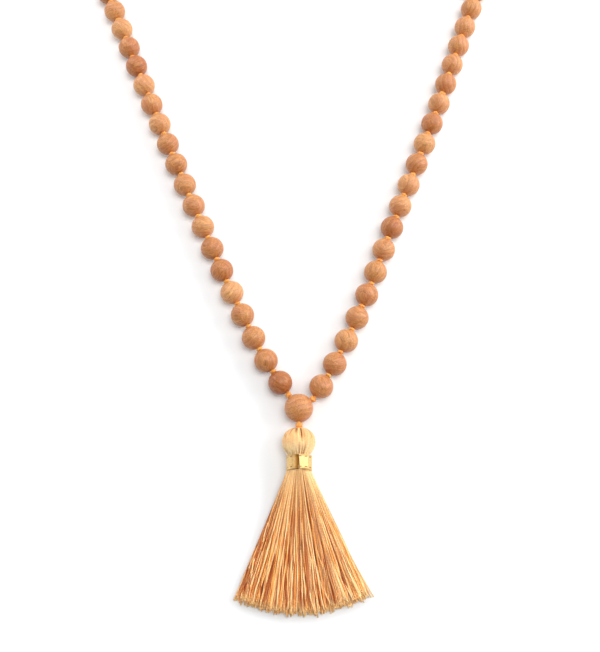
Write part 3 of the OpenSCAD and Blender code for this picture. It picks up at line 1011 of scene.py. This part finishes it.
# Its inner side lies on the silk, and stands out by this share of what the outer side does
IN_TO_OUT = 0.6
in_side = [(y, -IN_TO_OUT * r) for y, r in reversed(out_side[1:-1])]
section = np.array(out_side + in_side)
wound = np.linspace(0, 1, RIBBON_STEPS)[:, None]
skew = math.radians(ASKEW) * (section[:, 0] / band_l) * (1 - wound) ** ASKEW_FADES
turn = math.radians(END_AT) + wound * math.radians(360 + RUNS_UNDER) - skew
sink = CLOSER * np.clip(wound * CLOSES, 0, 1) - STANDS_OFF
sink = sink + DIPS * ramp(np.degrees(turn) - 360, DIPS_FROM, 0)
radius = creased_radius(turn) - sink + section[:, 1]
ribbon_points = np.stack(np.broadcast_arrays(
    axis_x + radius * np.sin(turn),
    band_middle + section[:, 0],
    axis_z + radius * np.cos(turn),
), axis=-1).reshape(-1, 3)
sides = len(section)
ribbon_walls = grid_faces(RIBBON_STEPS, sides)
ribbon_ends = end_faces(RIBBON_STEPS, sides)
ribbon = new_piece(
    "gold_ribbon_band",
    ribbon_points,
    ribbon_walls.tolist() + ribbon_ends,
    gold_ribbon(),
    "tassel_band",
)
ribbon.data.set_sharp_from_angle(angle=CRISP_ANGLE)
round_and_along = np.stack(np.broadcast_arrays(turn * NECK_R / MM, section[:, 0] / MM), axis=-1)
corner_points = np.concatenate([ribbon_walls.ravel(), *ribbon_ends])
keep_strand(ribbon, round_and_along.reshape(-1, 2)[corner_points])

# The necklace lies on a plain white surface, in soft light that comes mostly from its right. It is seen
# from over its foot, at the photograph's slant.
FLOOR_REACH = 40
PAPER_WHITE = (0.86, 0.86, 0.86, 1)
# Far from the necklace, where the soft boxes don't reach, the paper has a faint light of its own: between
# which distances in metres it comes up, and how strong it is
FAR_OFF = (0.35, 0.8)
FAR_LIGHT = 0.42
floor_corners = [(x * FLOOR_REACH, y * FLOOR_REACH, 0) for x, y in ((-1, -1), (1, -1), (1, 1), (-1, 1))]
floor_mesh = bpy.data.meshes.new("floor")
floor_mesh.from_pydata(floor_corners, [], [range(4)])
floor = bpy.data.objects.new("floor", floor_mesh)
bpy.context.scene.collection.objects.link(floor)
paper = Finish("white_paper", Roughness=0.8, Specular_IOR_Level=0.2, Emission_Color=(1, 1, 1, 1))
from_middle = paper.add("VectorMath", {0: paper.add("TexCoord", {}, "Object")}, "Value", operation="LENGTH")
own_light = paper.between(from_middle, *FAR_OFF, 0.0, FAR_LIGHT)
floor_mesh.materials.append(paper.surface(Base_Color=PAPER_WHITE, Emission_Strength=own_light))


def add_to_scene(name, data, at=(0, 0, 0), turned_by=(0, 0, 0)):
    """Places a lamp or a camera."""
    placed = bpy.data.objects.new(name, data)
    placed.location = at
    placed.rotation_euler = turned_by
    bpy.context.scene.collection.objects.link(placed)
    return placed


# Soft boxes round the necklace: degrees round from +X and above the floor, metres away and power in watts
SOFT_BOXES = {
    "right": (0, 28, 0.55, 1.9),
    "back_right": (45, 30, 0.55, 0.95),
    "back": (90, 50, 0.55, 0.1),
    "back_left": (135, 30, 0.55, 1.1),
    "left": (180, 24, 0.4, 0.3),
}
BOX_SIZE = 0.35
LIT_POINT = Vector((0.0, -0.08, 0.0))
for name, (round_from_right, above_floor, away, power) in SOFT_BOXES.items():
    bearing, rise = math.radians(round_from_right), math.radians(above_floor)
    level = math.cos(rise)
    way_out = Vector((math.cos(bearing) * level, math.sin(bearing) * level, math.sin(rise)))
    lamp = bpy.data.lights.new("soft_box_" + name, "AREA")
    lamp.size = BOX_SIZE
    lamp.energy = power
    add_to_scene(lamp.name, lamp, LIT_POINT + away * way_out, way_out.to_track_quat("Z", "Y").to_euler())

# A wide, pale ceiling light, almost straight above
CEILING_TILT = math.radians(10)
ceiling = bpy.data.lights.new("ceiling_light", "SUN")
ceiling.energy = 1.5
ceiling.angle = math.radians(35)
add_to_scene("ceiling_light", ceiling, turned_by=(0, CEILING_TILT, 0))

# The room is brighter behind the necklace than on the viewer's side
BRIGHT_SIDE = (0.3, 0.95, 0.0)
ROOM_LIGHT = (0.92, 0.97, 1, 1)
DARKEST, BRIGHTEST = 0.18, 0.62
world = bpy.data.worlds.new("room")
world.use_nodes = True
room = world.node_tree
seen_way = room.nodes.new("ShaderNodeTexCoord")
to_bright_side = room.nodes.new("ShaderNodeVectorMath")
to_bright_side.operation = "DOT_PRODUCT"
to_bright_side.inputs[1].default_value = BRIGHT_SIDE
strength = room.nodes.new("ShaderNodeMapRange")
for socket, value in (("From Min", -1.0), ("From Max", 1.0), ("To Min", DARKEST), ("To Max", BRIGHTEST)):
    strength.inputs[socket].default_value = value
room.links.new(seen_way.outputs["Generated"], to_bright_side.inputs[0])
room.links.new(to_bright_side.outputs["Value"], strength.inputs["Value"])
room.links.new(strength.outputs["Result"], room.nodes["Background"].inputs["Strength"])
room.nodes["Background"].inputs["Color"].default_value = ROOM_LIGHT
bpy.context.scene.world = world
bpy.context.scene.view_settings.view_transform = "Standard"

PHOTO_TILT = math.radians(20)
CAMERA_AT = Vector((4.37, -251.07, 292.5)) * MM
lens = bpy.data.cameras.new("camera")
lens.lens = 50
lens.clip_start = 0.01
bpy.context.scene.camera = add_to_scene("camera", lens, CAMERA_AT, (PHOTO_TILT, 0, 0))
